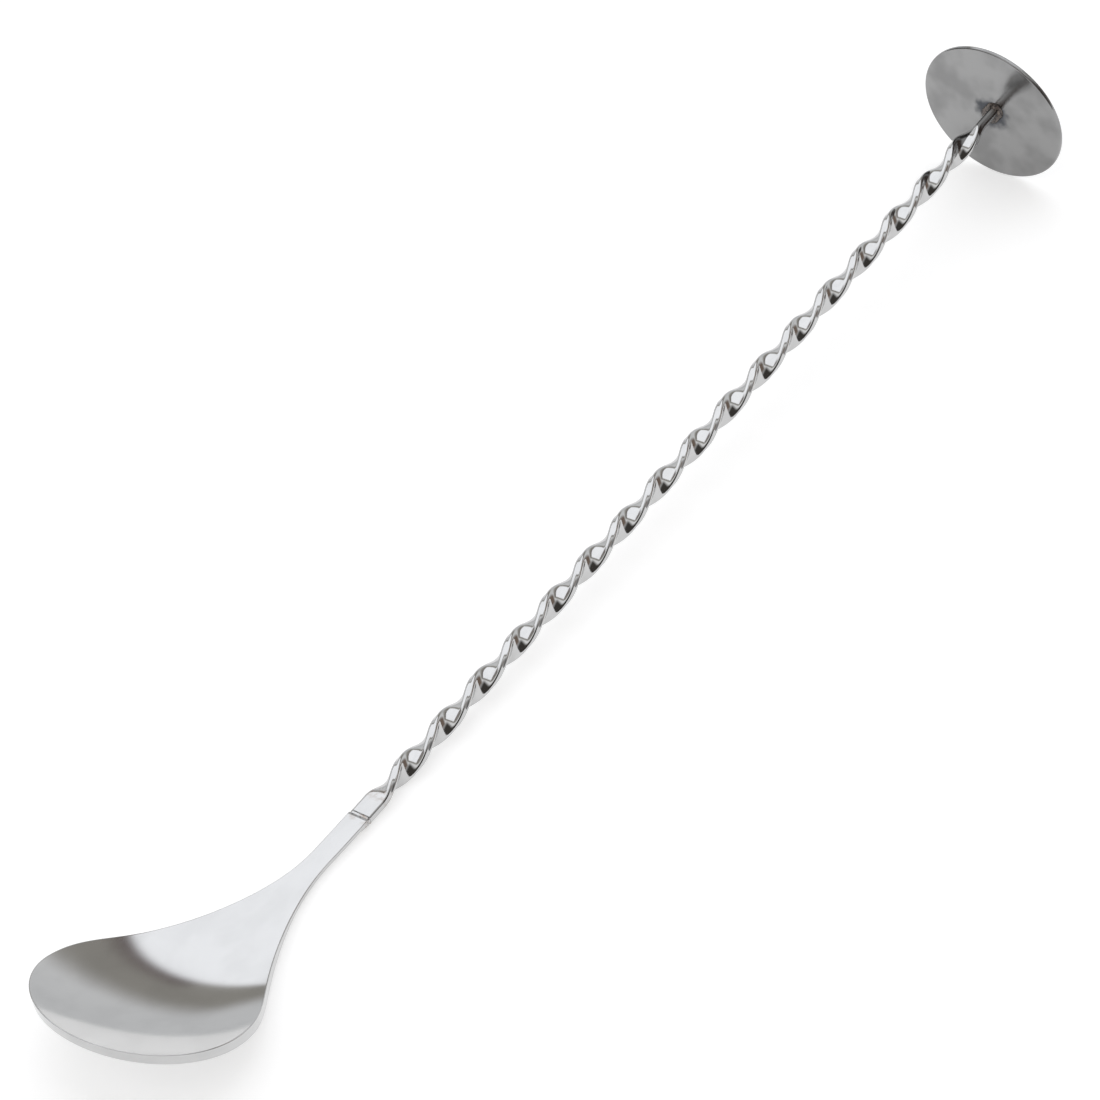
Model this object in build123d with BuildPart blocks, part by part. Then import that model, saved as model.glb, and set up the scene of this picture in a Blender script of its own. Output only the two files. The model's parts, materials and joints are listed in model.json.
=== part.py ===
from build123d import *

import os
from math import atan, cos, degrees, radians, sin

# Bar spoon: a stamped bowl head, a twisted strip stem and a round muddler disc, welded end to end.
#
# Millimetres, +Z up. The spoon lies at rest on a flat surface at z = 0: the edge of the strip, where its
# twist starts, and the rim of the disc both touch it, so the stem slopes up towards the disc and the
# bowl is lifted clear. +X runs along the spoon from the bowl to the disc, and the origin is under the middle of the
# spoon's box.

# Driving dimensions
STEM_LENGTH = 197.8        # inner face of the disc to the neck seam, along the stem
HEAD_LENGTH = 72.0         # neck seam to the tip of the bowl, along the stem
STRIP_WIDTH = 4.0
STRIP_DEPTH = 1.8          # thickness of the strip
STRIP_CORNER = 0.6         # rolled corners of the strip
TWIST_PITCH = 21.6         # length of one full turn of the stem
DISC_DIAMETER = 29.0
DISC_THICKNESS = 0.9
DISC_RIM_RADIUS = 0.35     # rounding of the disc's rim

# Stem: straight foot at the disc, left-hand twist, straight end at the neck
DISC_FOOT = 5.6
NECK_FOOT = 4.8

# Outline of the head, as distances from the neck seam
NECK_FLARE = 10.3          # where the neck starts to flare
BOWL_WIDEST = 56.4         # where the bowl is widest
BOWL_HALF_WIDTH = 18.65

# Upper face of the head
FLOOR_LIFT = 5.5           # how far the neck bends up into the bowl's floor
FLOOR_LIFT_END = 64.0      # distance from the seam where that bend ends
TIP_START = 40.0           # distance from the seam where the floor starts to rise to the tip
TIP_RISE = 12.3
DISH = 0.0088              # cross curvature of the bowl: height is DISH times distance across, squared
DISH_START = 18.0          # the dish fades in between these distances from the seam
DISH_FULL = 56.0

# Thickness of the head, measured upright, which grows where the sheet slopes up into the bowl
NECK_SHEET = 1.0
BOWL_SHEET = 2.25
THICKEN_START = 18.0
THICKEN_END = 45.0
EDGE_ROUND = 0.2           # rounding of the head's cut edges

# Welds
NECK_SEAM = 0.5            # width of the ground-flush butt weld at the neck
NECK_WELD_TAPER = 2.8      # how far the weld tapers off under the thinner neck
BEAD_REACH = 1.5           # how far the disc weld reaches from the strip, on the disc
BEAD_TOP_REACH = 0.35      # and at its top
BEAD_HEIGHT = 0.9

os.makedirs("parts", exist_ok=True)


def fade(distance, start, end):
    """Smooth step from 0 at start to 1 at end, with no jump in slope or curvature."""
    t = min(max((distance - start) / (end - start), 0.0), 1.0)
    return t**3 * (t * (6 * t - 15) + 10)


def floor_height(distance):
    """Height of the head's upper face on its centreline, above the neck's upper face."""
    tip_part = max(distance - TIP_START, 0.0) / (HEAD_LENGTH - TIP_START)
    return FLOOR_LIFT * fade(distance, 0.0, FLOOR_LIFT_END) + TIP_RISE * tip_part**2


def head_height(distance, across):
    """Height of the head's upper face above the stem's axis."""
    dish = DISH * fade(distance, DISH_START, DISH_FULL)
    return STRIP_DEPTH / 2 + floor_height(distance) + dish * across**2


def head_thickness(distance):
    """Upright thickness of the head."""
    return NECK_SHEET + (BOWL_SHEET - NECK_SHEET) * fade(distance, THICKEN_START, THICKEN_END)


def underside_height(distance, across):
    """Height of the head's lower face above the stem's axis."""
    return head_height(distance, across) - head_thickness(distance)


def strip_reach(from_disc):
    """How far the twisted strip reaches below its axis, at a distance from the disc."""
    turn = radians(360 * max(STEM_LENGTH - NECK_SEAM - NECK_FOOT - from_disc, 0.0) / TWIST_PITCH)
    flat_width = STRIP_WIDTH / 2 - STRIP_CORNER
    flat_depth = STRIP_DEPTH / 2 - STRIP_CORNER
    return STRIP_CORNER + flat_width * abs(sin(turn)) + flat_depth * abs(cos(turn))


def rest_tilt():
    """Slope of the stem, in radians, at which the strip or the head touches the table with the disc."""
    disc_drop = DISC_DIAMETER / 2
    strip = [atan((disc_drop - strip_reach(d / 10)) / (d / 10)) for d in range(1500, int(STEM_LENGTH * 10) + 1)]
    head = [atan((disc_drop + underside_height(d, 0)) / (STEM_LENGTH + d)) for d in range(1, int(HEAD_LENGTH))]
    return min(*strip, *head)


# The stem's own plane: local x along the stem towards the disc, zero on the disc's inner face,
# local y across the bowl, local z out of the bowl.
TILT = rest_tilt()
TIP_HEIGHT = head_height(HEAD_LENGTH, 0)
LOW_X = -(STEM_LENGTH + HEAD_LENGTH) * cos(TILT) - TIP_HEIGHT * sin(TILT)
HIGH_X = DISC_THICKNESS * cos(TILT) + (DISC_DIAMETER / 2 - DISC_RIM_RADIUS) * sin(TILT)
STEM_FRAME = Plane(
    origin=(-(LOW_X + HIGH_X) / 2, 0, DISC_DIAMETER / 2 * cos(TILT)),
    x_dir=(cos(TILT), 0, sin(TILT)),
    z_dir=(-sin(TILT), 0, cos(TILT)),
)


def across_stem(x, turn=0.0):
    """Plane square to the stem at local x, facing the disc, with its x along the strip's width."""
    return Plane(
        origin=STEM_FRAME.from_local_coords(Vector(x, 0, 0)),
        x_dir=STEM_FRAME.y_dir * cos(radians(turn)) + STEM_FRAME.z_dir * sin(radians(turn)),
        z_dir=STEM_FRAME.x_dir,
    )


TWIST_LENGTH = STEM_LENGTH - NECK_SEAM - DISC_FOOT - NECK_FOOT
TWIST_TURN = -360.0 * TWIST_LENGTH / TWIST_PITCH          # left-hand, going towards the disc
NECK_X = -STEM_LENGTH
TWIST_START_X = NECK_X + NECK_SEAM + NECK_FOOT

# Twisted stem
with BuildPart() as twisted_stem:
    with BuildSketch(across_stem(NECK_X + NECK_SEAM)):
        RectangleRounded(STRIP_WIDTH, STRIP_DEPTH, STRIP_CORNER)
    extrude(amount=NECK_FOOT)
    with BuildSketch(across_stem(TWIST_START_X), mode=Mode.PRIVATE) as strip_section:
        RectangleRounded(STRIP_WIDTH, STRIP_DEPTH, STRIP_CORNER)
    add(
        Solid.extrude_linear_with_rotation(
            strip_section.sketch.face(),
            center=across_stem(TWIST_START_X).origin,
            normal=STEM_FRAME.x_dir * TWIST_LENGTH,
            angle=TWIST_TURN,
        )
    )
    with BuildSketch(across_stem(-DISC_FOOT, TWIST_TURN)):
        RectangleRounded(STRIP_WIDTH, STRIP_DEPTH, STRIP_CORNER)
    extrude(amount=DISC_FOOT)
twisted_stem.part.label = "twisted_stem"
export_step(twisted_stem.part, "parts/twisted_stem.step")

# Bowl head: one sheet, thin at the neck, dished at the bowl and cut square to the stem's plane
SURFACE_MARGIN = 4.0
LENGTH_STEPS = 38
WIDTH_STEPS = 16


def head_face(height_at):
    """Smooth face through the heights that height_at gives, a little larger than the head."""
    points = []
    half_row = BOWL_HALF_WIDTH + SURFACE_MARGIN
    for row in range(LENGTH_STEPS + 1):
        along = -SURFACE_MARGIN + (HEAD_LENGTH + 2 * SURFACE_MARGIN) * row / LENGTH_STEPS
        points.append([])
        for column in range(WIDTH_STEPS + 1):
            side = half_row * (2 * column / WIDTH_STEPS - 1)
            point = Vector(NECK_X - along, side, height_at(along, side))
            points[-1].append(STEM_FRAME.from_local_coords(point))
    return Face.make_surface_from_array_of_points(points, tol=0.002, min_deg=3, max_deg=5)


# Outline: along the flaring neck to the widest place, then a quarter ellipse to the tip
FLARE = [
    (NECK_X - NECK_FLARE, STRIP_WIDTH / 2),
    (NECK_X - 24.9, 4.75),
    (NECK_X - 40.9, 12.35),
    (NECK_X - 50.0, 17.5),
    (NECK_X - BOWL_WIDEST, BOWL_HALF_WIDTH),
]
FULL_DEPTH = 40.0          # deeper than the head is tall

with BuildPart() as spoon_head:
    extrude(head_face(head_height), amount=FULL_DEPTH, dir=-STEM_FRAME.z_dir)
    with BuildSketch(STEM_FRAME.offset(-FULL_DEPTH / 2)):
        with BuildLine():
            Polyline((NECK_X, 0), (NECK_X, STRIP_WIDTH / 2), FLARE[0])
            Spline(*FLARE, tangents=[(-1, 0), (-1, 0)])
            EllipticalCenterArc(
                center=(NECK_X - BOWL_WIDEST, 0),
                x_radius=HEAD_LENGTH - BOWL_WIDEST,
                y_radius=BOWL_HALF_WIDTH,
                start_angle=90,
                arc_size=90,
            )
            mirror(about=Plane.XZ)
        make_face()
    extrude(amount=FULL_DEPTH, mode=Mode.INTERSECT)
    extrude(head_face(underside_height), amount=FULL_DEPTH, dir=-STEM_FRAME.z_dir, mode=Mode.SUBTRACT)
    cut_edges = spoon_head.edges().filter_by(lambda edge: edge.length > NECK_FLARE - 1)
    fillet(cut_edges, EDGE_ROUND)
spoon_head.part.label = "spoon_head"
export_step(spoon_head.part, "parts/spoon_head.step")

# Neck weld: the butt weld between head and stem, ground flush with the strip, and the fillet of
# weld metal that tapers off under the thinner neck
with BuildPart() as neck_weld:
    with BuildSketch(across_stem(NECK_X)):
        RectangleRounded(STRIP_WIDTH, STRIP_DEPTH, STRIP_CORNER)
    extrude(amount=NECK_SEAM)
    with BuildSketch(Plane(STEM_FRAME.origin, x_dir=STEM_FRAME.x_dir, z_dir=-STEM_FRAME.y_dir)):
        with BuildLine():
            Polyline(
                (NECK_X, STRIP_DEPTH / 2 - NECK_SHEET),
                (NECK_X, -STRIP_DEPTH / 2),
                (NECK_X - NECK_WELD_TAPER, STRIP_DEPTH / 2 - NECK_SHEET),
                close=True,
            )
        make_face()
    extrude(amount=STRIP_WIDTH / 2 - EDGE_ROUND, both=True)
neck_weld.part.label = "neck_weld"
export_step(neck_weld.part, "parts/neck_weld.step")

# Muddler disc: flat, with a rounded rim
with BuildPart() as muddler_disc:
    with BuildSketch(across_stem(0)):
        Circle(DISC_DIAMETER / 2)
    extrude(amount=DISC_THICKNESS)
    fillet(muddler_disc.edges().filter_by(GeomType.CIRCLE), DISC_RIM_RADIUS)
muddler_disc.part.label = "muddler_disc"
export_step(muddler_disc.part, "parts/muddler_disc.step")

# Disc weld: a sloping bead round the foot of the stem
BEAD_WIDTH = STRIP_WIDTH + 2 * BEAD_REACH
BEAD_DEPTH = STRIP_DEPTH + 2 * BEAD_REACH
BEAD_TOP_WIDTH = STRIP_WIDTH + 2 * BEAD_TOP_REACH
BEAD_TOP_DEPTH = STRIP_DEPTH + 2 * BEAD_TOP_REACH
with BuildPart() as disc_weld:
    with BuildSketch(across_stem(0, TWIST_TURN)):
        RectangleRounded(BEAD_WIDTH, BEAD_DEPTH, 0.49 * BEAD_DEPTH)
    with BuildSketch(across_stem(-BEAD_HEIGHT, TWIST_TURN)):
        RectangleRounded(BEAD_TOP_WIDTH, BEAD_TOP_DEPTH, 0.49 * BEAD_TOP_DEPTH)
    loft()
    with BuildSketch(across_stem(0, TWIST_TURN)):
        RectangleRounded(STRIP_WIDTH, STRIP_DEPTH, STRIP_CORNER)
    extrude(amount=-2 * BEAD_HEIGHT, mode=Mode.SUBTRACT)
disc_weld.part.label = "disc_weld"
export_step(disc_weld.part, "parts/disc_weld.step")

print("slope of the stem", round(degrees(TILT), 3), "degrees")
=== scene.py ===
import json
from math import cos, pi, radians, sin

import bmesh
import bpy
import numpy as np
from mathutils import Matrix, Vector, noise


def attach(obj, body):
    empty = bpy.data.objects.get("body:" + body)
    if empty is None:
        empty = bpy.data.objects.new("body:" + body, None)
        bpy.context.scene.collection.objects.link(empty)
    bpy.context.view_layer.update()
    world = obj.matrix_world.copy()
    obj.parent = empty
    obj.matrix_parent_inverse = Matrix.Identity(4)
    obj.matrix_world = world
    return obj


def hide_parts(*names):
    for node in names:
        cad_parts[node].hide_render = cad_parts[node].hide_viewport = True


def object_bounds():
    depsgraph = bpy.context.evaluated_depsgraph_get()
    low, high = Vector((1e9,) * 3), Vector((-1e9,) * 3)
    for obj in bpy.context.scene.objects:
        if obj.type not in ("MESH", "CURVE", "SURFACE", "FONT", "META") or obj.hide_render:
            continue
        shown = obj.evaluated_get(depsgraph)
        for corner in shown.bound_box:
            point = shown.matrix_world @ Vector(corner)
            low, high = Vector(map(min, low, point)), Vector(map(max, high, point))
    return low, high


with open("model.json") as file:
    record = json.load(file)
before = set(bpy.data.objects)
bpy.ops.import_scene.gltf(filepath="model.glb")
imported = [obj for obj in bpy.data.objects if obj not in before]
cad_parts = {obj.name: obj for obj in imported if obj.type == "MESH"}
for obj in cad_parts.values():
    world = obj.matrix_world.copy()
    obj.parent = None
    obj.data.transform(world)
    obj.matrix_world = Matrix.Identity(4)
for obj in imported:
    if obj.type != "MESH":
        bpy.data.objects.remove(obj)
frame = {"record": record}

cad_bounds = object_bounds()

MERGE_DISTANCE = 2e-7      # metres
THIN_FACE = 1e-7

# The spoon is built in millimetres in the stem's own axes, then placed in metres in the CAD frame:
# x along the stem, 0 on the disc's inner face and positive outwards, y across the bowl, z out of the bowl.
MM = 0.001
STEM_LENGTH = 197.8
HEAD_LENGTH = 72.0
STRIP_WIDTH = 4.0
STRIP_DEPTH = 1.8
STRIP_CORNER = 0.6
TWIST_PITCH = 21.6
DISC_FOOT = 5.6
NECK_FOOT = 4.8
NECK_SEAM = 0.5
DISC_RADIUS = 14.5
DISC_THICKNESS = 0.9
DISC_RIM_RADIUS = 0.35

# Outline and upper face of the head, as distances from the neck seam
NECK_FLARE = 10.3
FLARE = [(NECK_FLARE, 2.0), (24.9, 4.75), (40.9, 12.35), (50.0, 17.5), (56.4, 18.65)]
BOWL_WIDEST, BOWL_HALF_WIDTH = FLARE[-1]
FLOOR_LIFT = 5.5
FLOOR_LIFT_END = 64.0
TIP_START = 40.0
TIP_RISE = 12.3
DISH = 0.0088
DISH_START = 18.0
DISH_FULL = 56.0
NECK_SHEET = 1.0
BOWL_SHEET = 2.25
THICKEN_START = 18.0
THICKEN_END = 45.0
EDGE_ROUND = 0.2
EDGE_SUPPORT = 0.08        # a narrow face beyond each rounding, which keeps the flats flat

NECK_WELD_TAPER = 2.8
DISC_WELD_REACH = 0.9
DISC_WELD_TOP = 0.12
DISC_WELD_HEIGHT = 0.8

TWIST_START = -STEM_LENGTH + NECK_SEAM + NECK_FOOT
TWIST_RATE = -2 * pi / TWIST_PITCH

mount = frame["record"]["mounts"][0]
ALONG = Vector(mount["axis"]).normalized()
ACROSS = Vector((0, 1, 0))
UPRIGHT = ALONG.cross(ACROSS)
ORIGIN = Vector(mount["pos_m"]) - ALONG * DISC_THICKNESS * MM


def place(x, y, z):
    """A point of the stem's axes, in metres in the CAD frame."""
    return ORIGIN + (ALONG * x + ACROSS * y + UPRIGHT * z) * MM


# ---------------------------------------------------------------- shapes


def fade(distance, start, end):
    """Smooth step from 0 at start to 1 at end."""
    t = min(max((distance - start) / (end - start), 0.0), 1.0)
    return t**3 * (t * (6 * t - 15) + 10)


def floor_height(distance):
    """Height of the head's centreline above the neck's upper face."""
    tip_part = max(distance - TIP_START, 0.0) / (HEAD_LENGTH - TIP_START)
    return FLOOR_LIFT * fade(distance, 0.0, FLOOR_LIFT_END) + TIP_RISE * tip_part**2


def head_height(distance, across):
    """Height of the head's upper face above the stem's axis."""
    dish = DISH * fade(distance, DISH_START, DISH_FULL)
    return STRIP_DEPTH / 2 + floor_height(distance) + dish * across**2


def head_thickness(distance):
    """Upright thickness of the head."""
    return NECK_SHEET + (BOWL_SHEET - NECK_SHEET) * fade(distance, THICKEN_START, THICKEN_END)


def flare_slopes():
    """Slopes at the flare's points of the smooth cubic that starts and ends along the stem."""
    x, y = np.array(FLARE).T
    step = np.diff(x)
    rise = np.diff(y) / step
    system = np.zeros((len(x), len(x)))
    pull = np.zeros(len(x))
    system[0, 0] = system[-1, -1] = 1.0
    for i in range(1, len(x) - 1):
        before, after = 1 / step[i - 1], 1 / step[i]
        system[i, i - 1:i + 2] = before, 2 * (before + after), after
        pull[i] = 3 * (rise[i - 1] * before + rise[i] * after)
    return np.linalg.solve(system, pull)


SLOPES = flare_slopes()


def flare_half_width(distance):
    """Half width of the head between the straight neck and the widest place."""
    for (x0, y0), (x1, y1), s0, s1 in zip(FLARE, FLARE[1:], SLOPES, SLOPES[1:]):
        if distance <= x1:
            span = x1 - x0
            t = (distance - x0) / span
            start = y0 * (1 + 2 * t) * (1 - t) ** 2 + y1 * t * t * (3 - 2 * t)
            return start + span * (s0 * t * (1 - t) ** 2 - s1 * t * t * (1 - t))
    return y1


def outline():
    """Half outline of the head from the seam to the tip: (distance, half width, inward direction)."""
    points = [(d, STRIP_WIDTH / 2) for d in np.arange(0.0, NECK_FLARE, 0.5)]
    points += [(d, flare_half_width(d)) for d in np.arange(NECK_FLARE, BOWL_WIDEST, 0.5)]
    for angle in np.linspace(0, pi / 2, 72):
        reach = (HEAD_LENGTH - BOWL_WIDEST) * sin(angle)
        points.append((BOWL_WIDEST + reach, BOWL_HALF_WIDTH * cos(angle)))
    path = np.array(points)
    tangent = np.gradient(path, axis=0)
    tangent[0] = (1, 0)
    tangent[-1] = (0, -1)
    tangent /= np.linalg.norm(tangent, axis=1)[:, None]
    return [(p[0], p[1], (t[1], -t[0])) for p, t in zip(path, tangent)]


def rim_profile(height):
    """Rounded edge of a sheet from its upper to its lower face: (inset, drop) pairs."""
    support = EDGE_ROUND + EDGE_SUPPORT
    arc = [(EDGE_ROUND * (1 - sin(a)), EDGE_ROUND * (1 - cos(a))) for a in np.linspace(0, pi / 2, 5)]
    upper = [(support, 0.0), *arc, (0.0, support)]
    return upper + [(inset, height - drop) for inset, drop in reversed(upper)]


def mesh_object(name, mesh):
    """Links a smooth-shaded piece. Its large faces decide the normals, so they stay flat-looking."""
    for polygon in mesh.polygons:
        polygon.use_smooth = True
    piece = bpy.data.objects.new(name, mesh)
    bpy.context.scene.collection.objects.link(piece)
    weighted = piece.modifiers.new("face_weighted_normals", "WEIGHTED_NORMAL")
    weighted.mode = "FACE_AREA"
    weighted.weight = 60
    return piece


def shell(rows, closed_rows):
    """A skin through rows of points, each row one closed loop in the stem's axes, capped at closed_rows."""
    bm = bmesh.new()
    rings = [[bm.verts.new(place(*point)) for point in row] for row in rows]
    count = len(rings[0])
    for ring, following in zip(rings, rings[1:]):
        for i in range(count):
            j = (i + 1) % count
            bm.faces.new((ring[i], ring[j], following[j], following[i]))
    for index in closed_rows:
        bm.faces.new(rings[index])
    bmesh.ops.remove_doubles(bm, verts=bm.verts, dist=MERGE_DISTANCE)
    return bm


def finish_mesh(bm, name):
    """Turns the faces outwards and makes the object."""
    bmesh.ops.recalc_face_normals(bm, faces=bm.faces)
    mesh = bpy.data.meshes.new(name)
    bm.to_mesh(mesh)
    bm.free()
    return mesh_object(name, mesh)


def tube(name, rows):
    """A shell closed at both ends."""
    return finish_mesh(shell(rows, (0, -1)), name)


def waviness(x, y, z, size, amount):
    """A smooth unevenness in millimetres, with lumps about as far apart as size."""
    return amount * noise.noise(Vector((x / size + 7.3, y / size - 2.1, z / size + 4.6)))


HEAD_COLUMNS = 36


def head_row(distance, half_width, inward):
    """One closed loop round the head: upper face, one edge, lower face, other edge."""
    rim = rim_profile(head_thickness(distance))
    edge = []
    for inset, drop in rim:
        d = distance + inward[0] * inset
        y = half_width + inward[1] * inset
        edge.append((d, y, head_height(d, y) - drop))
    inner_d, inner_y, _ = edge[0]
    columns = [inner_y * k / HEAD_COLUMNS for k in range(-HEAD_COLUMNS + 1, HEAD_COLUMNS)]
    upper = [(inner_d, y, head_height(inner_d, y)) for y in columns]
    lower = [(d, y, z - head_thickness(distance)) for d, y, z in reversed(upper)]
    other_edge = [(d, -y, z) for d, y, z in reversed(edge)]
    loop = upper + edge + lower + other_edge
    return [
        (-STEM_LENGTH - d, y, z + waviness(d, y, 0, 9.0, 0.006 * fade(d, 2.0, 20.0)))
        for d, y, z in loop
    ]


def make_head():
    """The head, closed at the neck. Its last row runs together at the tip, which closes it there."""
    rows = [head_row(*point) for point in outline()]
    bm = shell(rows, (0,))
    bmesh.ops.dissolve_degenerate(bm, edges=bm.edges, dist=THIN_FACE)
    return finish_mesh(bm, "bowl_and_neck")


def strip_section(width, depth, corner, wide_pieces=12, narrow_pieces=4):
    """Rounded rectangle as points (across, thickness), walked once round."""
    points = []
    for across, up, start in ((1, 1, 0), (-1, 1, 90), (-1, -1, 180), (1, -1, 270)):
        middle_y = across * (width / 2 - corner)
        middle_z = up * (depth / 2 - corner)
        for step in range(6):
            angle = radians(start + 18 * step)
            points.append((middle_y + corner * cos(angle), middle_z + corner * sin(angle)))
        pieces = wide_pieces if up * across > 0 else narrow_pieces
        here = points[-1]
        there = (-here[0], here[1]) if up * across > 0 else (here[0], -here[1])
        for k in range(1, pieces):
            part = k / pieces
            points.append((here[0] + (there[0] - here[0]) * part, here[1] + (there[1] - here[1]) * part))
    return points


TWIST_EASE = 2.2          # length over which the twist starts and stops


def twist_angle(x):
    """Turn of the strip about the stem's axis, easing in and out of the straight ends."""

    def turned(distance):
        if distance <= -TWIST_EASE / 2:
            return 0.0
        if distance >= TWIST_EASE / 2:
            return distance
        return (distance + TWIST_EASE / 2) ** 2 / (2 * TWIST_EASE)

    start = turned(x - TWIST_START)
    end = turned(x + DISC_FOOT)
    wobble = noise.noise(Vector((x / 11.0, 3.7, 1.2))) * radians(4)
    wobble *= fade(x, TWIST_START, TWIST_START + 12) * (1 - fade(x, -16, -DISC_FOOT))
    return TWIST_RATE * (start - end) + wobble


def turned_section(points, x, angle):
    return [(x, a * cos(angle) - t * sin(angle), a * sin(angle) + t * cos(angle)) for a, t in points]


def make_stem():
    section = strip_section(STRIP_WIDTH, STRIP_DEPTH, STRIP_CORNER)
    stations = np.linspace(-STEM_LENGTH + NECK_SEAM, 0.0, 760)
    rows = [turned_section(section, x, twist_angle(x)) for x in stations]
    return tube("stem_strip", rows)


def make_neck_weld():
    """Ground butt weld, a little hollow and uneven, and the weld metal tapering under the neck."""
    rows = []
    for x in np.linspace(-NECK_WELD_TAPER, NECK_SEAM, 34):
        if x < 0:
            groove = 0.0
            top = STRIP_DEPTH / 2 - NECK_SHEET
            taper = 0.97 * x / -NECK_WELD_TAPER
            half = STRIP_WIDTH / 2 - EDGE_ROUND
        else:
            groove = 0.03 * (1 - abs(2 * x / NECK_SEAM - 1)) if x > 0 else 0.0
            top = STRIP_DEPTH / 2 - groove
            taper = 0.0
            half = STRIP_WIDTH / 2 - groove
        bottom = -STRIP_DEPTH / 2 + groove + (STRIP_DEPTH - NECK_SHEET) * taper
        depth = top - bottom
        corner = min(STRIP_CORNER, 0.4 * depth)
        section = strip_section(2 * half, depth, corner)
        rows.append([
            (-STEM_LENGTH + x, y, z + (top + bottom) / 2 + waviness(x * 5, y * 3, z * 3, 1.0, 0.01))
            for y, z in section
        ])
    return tube("neck_seam_metal", rows)


def make_disc_weld():
    angle = twist_angle(0.0)
    rows = []
    for level in np.linspace(0.0, 1.0, 12):
        reach = DISC_WELD_TOP + (DISC_WELD_REACH - DISC_WELD_TOP) * (1 - level) ** 2.2
        if level == 1.0:
            reach = 0.02
        depth = STRIP_DEPTH + 2 * reach
        section = strip_section(STRIP_WIDTH + 2 * reach, depth, 0.49 * depth)
        row = turned_section(section, -DISC_WELD_HEIGHT * min(level * 1.05, 1.0), angle)
        lump = 0.10 * (1 - abs(2 * level - 1))
        rows.append([
            (
                x - abs(waviness(x, y, z, 0.9, lump)),
                y + waviness(z, x, y, 0.8, lump),
                z + waviness(y, z, x, 0.8, lump),
            )
            for x, y, z in row
        ])
    return tube("disc_weld_bead", rows)


def make_disc():
    """Flat disc with a rounded rim, a little drawn by the weld's heat."""
    arc = [
        (DISC_RADIUS - DISC_RIM_RADIUS * (1 - sin(a)), DISC_RIM_RADIUS * (1 - cos(a)))
        for a in np.linspace(0, pi / 2, 7)
    ]
    flat = [(r, 0.0) for r in (0.6, *np.arange(1.0, 14.0, 0.5), 13.85, 14.02, 14.1)]
    inner = flat + arc
    outer = [(r, DISC_THICKNESS - depth) for r, depth in reversed(inner)]
    rows = []
    for radius, depth in inner + outer:
        ring = []
        for k in range(192):
            angle = 2 * pi * k / 192
            y, z = radius * cos(angle), radius * sin(angle)
            calm = 1 - fade(radius, 10.0, 14.0)
            ring.append((depth + waviness(y, z, 0, 7.0, 0.012 * calm), y, z))
        rows.append(ring)
    return tube("disc_plate", rows)


# ---------------------------------------------------------------- materials


class Nodes:
    """Shorthand for building a node tree."""

    def __init__(self, tree):
        self.tree = tree
        tree.nodes.clear()

    def add(self, kind, **settings):
        node = self.tree.nodes.new(kind)
        for name, value in settings.items():
            setattr(node, name, value)
        return node

    def link(self, source, target):
        self.tree.links.new(source, target)

    def value(self, socket, source):
        """Feeds a socket from another socket, or sets it to a plain value."""
        if isinstance(source, bpy.types.NodeSocket):
            self.link(source, socket)
        else:
            socket.default_value = source

    def math(self, operation, a, b=0.0, c=0.0, clamp=False):
        node = self.add("ShaderNodeMath", operation=operation, use_clamp=clamp)
        for socket, source in zip(node.inputs, (a, b, c)):
            self.value(socket, source)
        return node.outputs[0]

    def dot(self, a, b):
        node = self.add("ShaderNodeVectorMath", operation="DOT_PRODUCT")
        self.value(node.inputs[0], a)
        self.value(node.inputs[1], b)
        return node.outputs["Value"]

    def step(self, source, start, end, low=0.0, high=1.0):
        """Smooth step of source from low at start to high at end."""
        node = self.add("ShaderNodeMapRange", interpolation_type="SMOOTHSTEP")
        self.value(node.inputs["Value"], source)
        node.inputs["From Min"].default_value = start
        node.inputs["From Max"].default_value = end
        node.inputs["To Min"].default_value = low
        node.inputs["To Max"].default_value = high
        return node.outputs["Result"]

    def mix(self, factor, a, b):
        """Mix of two colours."""
        node = self.add("ShaderNodeMix", data_type="RGBA")
        colours = [socket for socket in node.inputs if socket.type == "RGBA"]
        self.value(node.inputs[0], factor)
        for socket, source in zip(colours, (a, b)):
            self.value(socket, source if isinstance(source, bpy.types.NodeSocket) else (*source, 1.0))
        return next(socket for socket in node.outputs if socket.type == "RGBA")

    def noise(self, vector, scale, detail=3.0, roughness=0.5):
        node = self.add("ShaderNodeTexNoise")
        self.link(vector, node.inputs["Vector"])
        node.inputs["Scale"].default_value = scale
        node.inputs["Detail"].default_value = detail
        node.inputs["Roughness"].default_value = roughness
        return node.outputs[0]

    def scaled(self, vector, scale):
        node = self.add("ShaderNodeMapping", vector_type="POINT")
        self.link(vector, node.inputs["Vector"])
        node.inputs["Scale"].default_value = scale
        return node.outputs["Vector"]


def stem_coordinates(nodes):
    """The stem's axes in millimetres, as a vector socket."""
    source = nodes.add("ShaderNodeTexCoord").outputs["Object"]
    axes = []
    for axis in (ALONG, ACROSS, UPRIGHT):
        scaled = nodes.dot(source, tuple(axis / MM))
        axes.append(nodes.math("SUBTRACT", scaled, ORIGIN.dot(axis) / MM))
    joined = nodes.add("ShaderNodeCombineXYZ")
    for socket, axis in zip(joined.inputs, axes):
        nodes.link(axis, socket)
    return joined.outputs["Vector"], axes


def steel(name, build):
    material = bpy.data.materials.new(name)
    material.use_nodes = True
    nodes = Nodes(material.node_tree)
    shader = nodes.add("ShaderNodeBsdfPrincipled")
    shader.inputs["Metallic"].default_value = 1.0
    output = nodes.add("ShaderNodeOutputMaterial")
    nodes.link(shader.outputs["BSDF"], output.inputs["Surface"])
    vector, axes = stem_coordinates(nodes)
    build(nodes, shader, vector, axes)
    return material


def bump(nodes, shader, height, strength, distance):
    node = nodes.add("ShaderNodeBump")
    node.inputs["Strength"].default_value = strength
    node.inputs["Distance"].default_value = distance
    nodes.link(height, node.inputs["Height"])
    nodes.link(node.outputs["Normal"], shader.inputs["Normal"])


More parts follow.
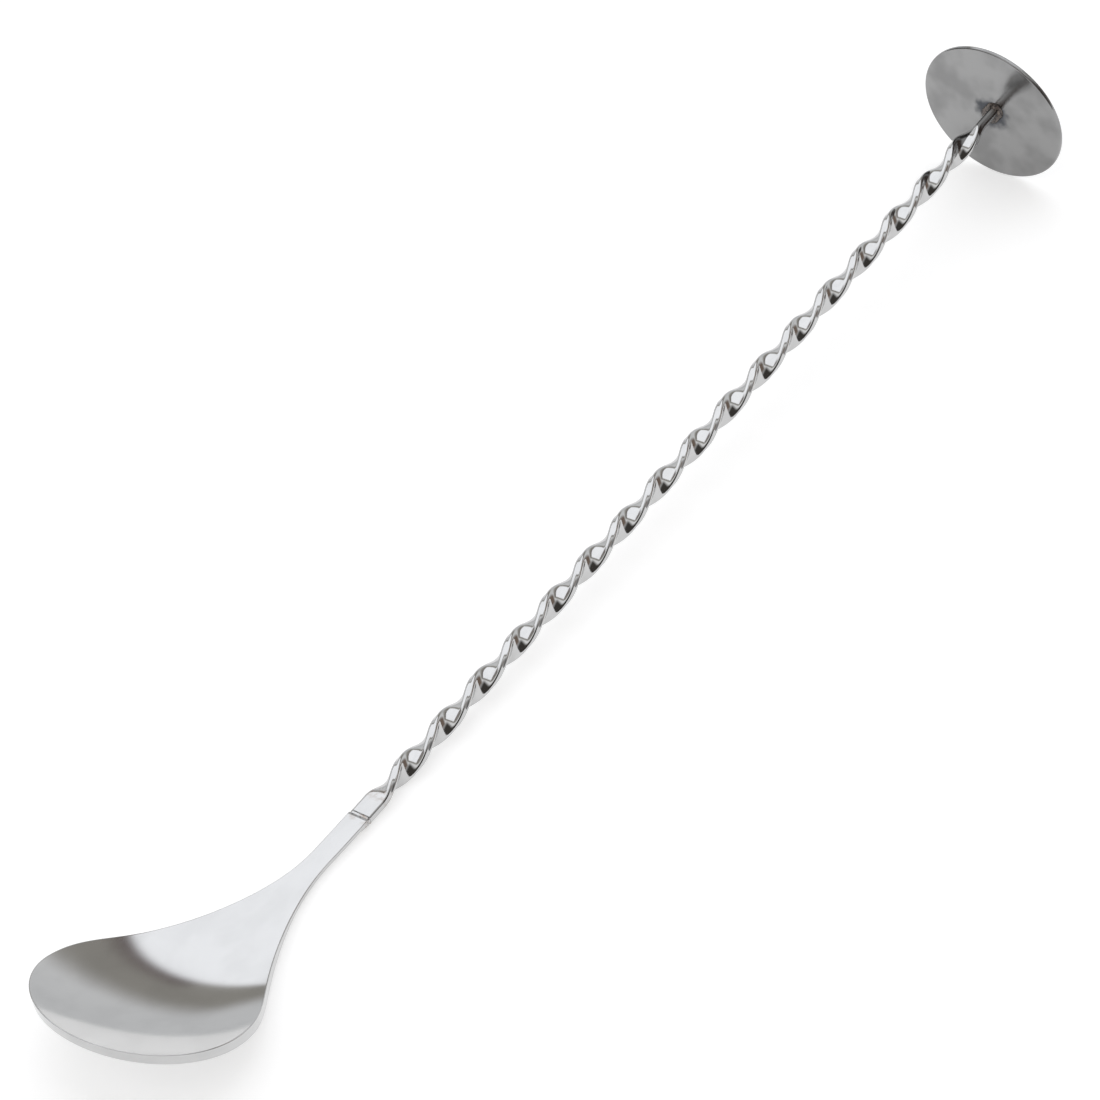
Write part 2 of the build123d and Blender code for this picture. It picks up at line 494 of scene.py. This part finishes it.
STEEL_LIGHT = (0.57, 0.57, 0.57)
STEEL_DARK = (0.54, 0.54, 0.54)
TINT_BROWN = (0.30, 0.235, 0.19)
TINT_DARK = (0.05, 0.055, 0.065)


def head_steel(nodes, shader, vector, axes):
    """Polished sheet: fine lines along the spoon, soft cloudiness and a stain at the seam."""
    along = axes[0]
    lines = nodes.noise(nodes.scaled(vector, (0.25, 9.0, 9.0)), 1.0, 4.0, 0.6)
    cloud = nodes.noise(nodes.scaled(vector, (0.12, 0.2, 0.2)), 1.0, 3.0)
    colour = nodes.mix(nodes.step(cloud, 0.35, 0.7), STEEL_LIGHT, STEEL_DARK)
    from_seam = nodes.math("ABSOLUTE", nodes.math("ADD", along, STEM_LENGTH))
    patch = nodes.noise(vector, 0.9, 2.0)
    stain = nodes.math("MULTIPLY", nodes.step(from_seam, 2.2, 0.2), nodes.step(patch, 0.45, 0.75))
    colour = nodes.mix(nodes.math("MULTIPLY", stain, 0.45), colour, TINT_BROWN)
    nodes.link(colour, shader.inputs["Base Color"])
    rough = nodes.math("MULTIPLY_ADD", lines, 0.06, 0.07)
    nodes.link(rough, shader.inputs["Roughness"])
    bump(nodes, shader, lines, 0.05, 0.00002)


def stem_steel(nodes, shader, vector, axes):
    """Rolled and twisted strip, stained a little where the twist starts and at the disc's weld."""
    along = axes[0]
    grain = nodes.noise(nodes.scaled(vector, (0.8, 5.0, 5.0)), 1.0, 4.0, 0.6)
    cloud = nodes.noise(nodes.scaled(vector, (0.25, 0.6, 0.6)), 1.0, 2.0)
    colour = nodes.mix(nodes.step(cloud, 0.35, 0.7), STEEL_LIGHT, STEEL_DARK)
    start = nodes.math("ABSOLUTE", nodes.math("SUBTRACT", along, TWIST_START + 0.6))
    patch = nodes.noise(vector, 1.1, 2.0)
    stain = nodes.math("MULTIPLY", nodes.step(start, 2.6, 0.3), nodes.step(patch, 0.4, 0.7))
    colour = nodes.mix(nodes.math("MULTIPLY", stain, 0.5), colour, TINT_BROWN)
    near_weld = nodes.step(along, -2.5, -0.6)
    colour = nodes.mix(nodes.math("MULTIPLY", near_weld, 0.5), colour, TINT_BROWN)
    nodes.link(colour, shader.inputs["Base Color"])
    nodes.link(nodes.math("MULTIPLY_ADD", grain, 0.08, 0.06), shader.inputs["Roughness"])
    bump(nodes, shader, grain, 0.08, 0.00002)


def disc_steel(nodes, shader, vector, axes):
    """Turned disc: rings of fine lines, a dark patch round the weld, and a colour well below the head's
    steel, which is painted shade for the darker surroundings the disc reflects.
    """
    across, upright = axes[1:]
    across_squared = nodes.math("POWER", across, 2.0)
    upright_squared = nodes.math("POWER", upright, 2.0)
    radius = nodes.math("SQRT", nodes.math("ADD", across_squared, upright_squared))
    ring_vector = nodes.add("ShaderNodeCombineXYZ")
    nodes.link(nodes.math("MULTIPLY", radius, 7.0), ring_vector.inputs["X"])
    nodes.link(nodes.math("MULTIPLY", across, 0.08), ring_vector.inputs["Y"])
    nodes.link(nodes.math("MULTIPLY", upright, 0.08), ring_vector.inputs["Z"])
    rings = nodes.noise(ring_vector.outputs["Vector"], 1.0, 4.0, 0.6)
    cloud = nodes.noise(vector, 0.15, 2.0)
    # Painted shade: both greys sit far below the head's steel (0.57) and stand in for the darker
    # surroundings the disc reflects; the cloudy change between them is random tone.
    colour = nodes.mix(nodes.step(cloud, 0.35, 0.7), (0.33, 0.33, 0.33), (0.25, 0.25, 0.25))
    # Darkens the disc almost to black round the weld, with a ragged edge.
    patch = nodes.noise(vector, 0.5, 2.0)
    reach = nodes.math("MULTIPLY_ADD", patch, -3.0, radius)
    near_weld = nodes.step(reach, 2.6, 0.6)
    colour = nodes.mix(nodes.math("MULTIPLY", near_weld, 0.9), colour, TINT_DARK)
    nodes.link(colour, shader.inputs["Base Color"])
    nodes.link(nodes.math("MULTIPLY_ADD", rings, 0.10, 0.12), shader.inputs["Roughness"])
    bump(nodes, shader, rings, 0.05, 0.00002)


def weld_steel(nodes, shader, vector, axes):
    """Weld metal: rippled, darker and rougher than the sheet."""
    ripple = nodes.noise(vector, 2.6, 3.0)
    colour = nodes.mix(nodes.step(ripple, 0.35, 0.65), (0.06, 0.055, 0.055), (0.20, 0.17, 0.15))
    nodes.link(colour, shader.inputs["Base Color"])
    nodes.link(nodes.math("MULTIPLY_ADD", ripple, 0.2, 0.25), shader.inputs["Roughness"])
    bump(nodes, shader, ripple, 0.3, 0.00005)


def seam_steel(nodes, shader, vector, axes):
    """Weld metal ground flush: close to the sheet, with a smudge of heat tint."""
    ripple = nodes.noise(vector, 1.6, 3.0)
    colour = nodes.mix(nodes.step(ripple, 0.4, 0.7), STEEL_DARK, TINT_BROWN)
    nodes.link(colour, shader.inputs["Base Color"])
    nodes.link(nodes.math("MULTIPLY_ADD", ripple, 0.12, 0.14), shader.inputs["Roughness"])
    bump(nodes, shader, ripple, 0.15, 0.00003)


# ---------------------------------------------------------------- pieces

PIECES = [
    (make_head, "spoon_head", "polished_steel", head_steel),
    (make_stem, "twisted_stem", "polished_steel", stem_steel),
    (make_neck_weld, "neck_weld", "weld_steel", seam_steel),
    (make_disc, "muddler_disc", "disc_steel", disc_steel),
    (make_disc_weld, "disc_weld", "weld_steel", weld_steel),
]

for make, node, slot, finish in PIECES:
    piece = make()
    piece.data.materials.append(steel(node + "_finish", finish))
    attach(piece, "root")
    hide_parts(node)


# ---------------------------------------------------------------- studio


def direction(azimuth, elevation):
    flat = cos(radians(elevation))
    return Vector((flat * cos(radians(azimuth)), flat * sin(radians(azimuth)), sin(radians(elevation))))


def panel_mask(nodes, towards, azimuth, elevation, roll, half_width, half_height, softness):
    """1 inside a rectangle of the sky and 0 outside it. The sizes are tangents of angles."""
    centre = direction(azimuth, elevation)
    right = centre.cross(Vector((0, 0, 1))).normalized()
    top = right.cross(centre)
    turn = Matrix.Rotation(radians(roll), 3, centre)
    depth = nodes.dot(towards, tuple(centre))
    ahead = nodes.math("MAXIMUM", depth, 0.02)
    mask = nodes.step(depth, 0.02, 0.10)
    for axis, half in ((turn @ right, half_width), (turn @ top, half_height)):
        offset = nodes.math("ABSOLUTE", nodes.math("DIVIDE", nodes.dot(towards, tuple(axis)), ahead))
        mask = nodes.math("MULTIPLY", mask, nodes.step(offset, half + softness, half - softness))
    return mask


# Painted one over the other, in this order. Azimuth, elevation and roll are in degrees.
# name: azimuth, elevation, roll, half width, half height, softness, colour
PANELS = {
    "far_wall": (128, 14, 0, 0.75, 0.30, 0.10, (0.08, 0.075, 0.07)),
    "near_wall": (-150, 18, 0, 0.70, 0.34, 0.14, (0.13, 0.10, 0.085)),
    "dark_room": (-86, 22, 0, 0.50, 0.52, 0.22, (0.06, 0.055, 0.05)),
    "brown_wall": (-36, 2, 0, 0.34, 0.50, 0.16, (0.22, 0.17, 0.14)),
    "olive_wall": (34.8, 63.7, -39.7, 0.95, 0.88, 0.14, (0.36, 0.345, 0.315)),
    "box_frame": (30, 65, -35, 0.55, 0.61, 0.06, (0.15, 0.115, 0.11)),
    "soft_box": (34.8, 63.7, -39.7, 0.70, 0.532, 0.035, (1.40, 1.42, 1.46)),
}


def make_world():
    world = bpy.data.worlds.new("studio")
    bpy.context.scene.world = world
    world.use_nodes = True
    nodes = Nodes(world.node_tree)
    towards = nodes.add("ShaderNodeTexCoord").outputs["Generated"]
    split = nodes.add("ShaderNodeSeparateXYZ")
    nodes.link(towards, split.inputs["Vector"])
    colour = nodes.mix(nodes.step(split.outputs["Z"], 0.0, 0.9), (0.75, 0.76, 0.77), (1.05, 1.05, 1.05))
    for azimuth, elevation, roll, half_width, half_height, softness, panel_colour in PANELS.values():
        mask = panel_mask(nodes, towards, azimuth, elevation, roll, half_width, half_height, softness)
        colour = nodes.mix(mask, colour, panel_colour)
    background = nodes.add("ShaderNodeBackground")
    nodes.link(colour, background.inputs["Color"])
    output = nodes.add("ShaderNodeOutputWorld")
    nodes.link(background.outputs["Background"], output.inputs["Surface"])


def make_floor():
    bm = bmesh.new()
    bmesh.ops.create_grid(bm, x_segments=2, y_segments=2, size=3.0)
    mesh = bpy.data.meshes.new("floor")
    bm.to_mesh(mesh)
    bm.free()
    floor = bpy.data.objects.new("floor", mesh)
    bpy.context.scene.collection.objects.link(floor)
    floor.location.z = cad_bounds[0][2] - 0.0001
    material = bpy.data.materials.new("pale_floor")
    material.use_nodes = True
    shader = material.node_tree.nodes["Principled BSDF"]
    shader.inputs["Base Color"].default_value = (0.65, 0.65, 0.65, 1.0)
    shader.inputs["Roughness"].default_value = 0.9
    shader.inputs["Specular IOR Level"].default_value = 0.0
    shader.inputs["Emission Color"].default_value = (1.0, 1.0, 1.0, 1.0)
    shader.inputs["Emission Strength"].default_value = 0.56
    mesh.materials.append(material)


# Camera, in the stem's own axes: azimuth from the disc towards +Y, elevation above the stem's plane
CAMERA_DISTANCE = 1080.8
CAMERA_AZIMUTH = -138.48
CAMERA_ELEVATION = 44.35
CAMERA_ROLL = -9.61
CAMERA_LENS = 206.34
AIM = (-130.95, 7.74, 0.0)


def make_camera():
    data = bpy.data.cameras.new("camera")
    data.lens = CAMERA_LENS
    data.sensor_width = 36.0
    camera = bpy.data.objects.new("camera", data)
    bpy.context.scene.collection.objects.link(camera)
    out = direction(CAMERA_AZIMUTH, CAMERA_ELEVATION)
    away = ALONG * out.x + ACROSS * out.y + UPRIGHT * out.z
    camera.location = place(*AIM) + away * CAMERA_DISTANCE * MM
    right = UPRIGHT.cross(away).normalized()
    level = Matrix((right, away.cross(right), away)).transposed()
    camera.rotation_euler = (level @ Matrix.Rotation(radians(CAMERA_ROLL), 3, "Z")).to_euler()
    bpy.context.scene.camera = camera


make_world()
make_floor()
make_camera()
bpy.context.scene.view_settings.view_transform = "Standard"
